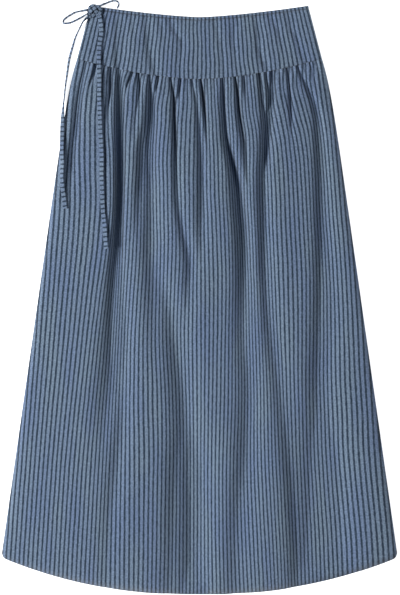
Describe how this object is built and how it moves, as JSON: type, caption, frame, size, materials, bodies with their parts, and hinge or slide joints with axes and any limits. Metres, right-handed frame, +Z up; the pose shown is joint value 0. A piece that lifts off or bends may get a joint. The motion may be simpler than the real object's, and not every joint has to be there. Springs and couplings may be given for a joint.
{
  "type": "maxi skirt",
  "caption": "Long striped skirt laid flat, gathered onto a shaped yoke, with a narrow waist casing and a cord tied in a bow at one side of the waist.",
  "frame": {"origin": "middle of the laid skirt's outline, on the surface that it lies on, without the tie", "axes": "+Z up out of the surface through the front of the skirt, +Y towards the waist, -Y towards the hem"},
  "size_m": [0.632, 0.9496, 0.0245],
  "materials": {
    "cloth": "matte woven cotton in dusty blue with narrow navy warp stripes",
    "tie": "matte flat cord of the same cloth, cut across the stripes"
  },
  "bodies": {
    "root": {"front_skirt": "cloth", "front_yoke": "cloth", "front_casing": "cloth", "back_skirt": "cloth", "back_yoke": "cloth", "back_casing": "cloth", "tie_knot": "tie", "tie_loop_left": "tie", "tie_loop_right": "tie", "tie_tail_left": "tie", "tie_tail_right": "tie"}
  },
  "joints": []
}
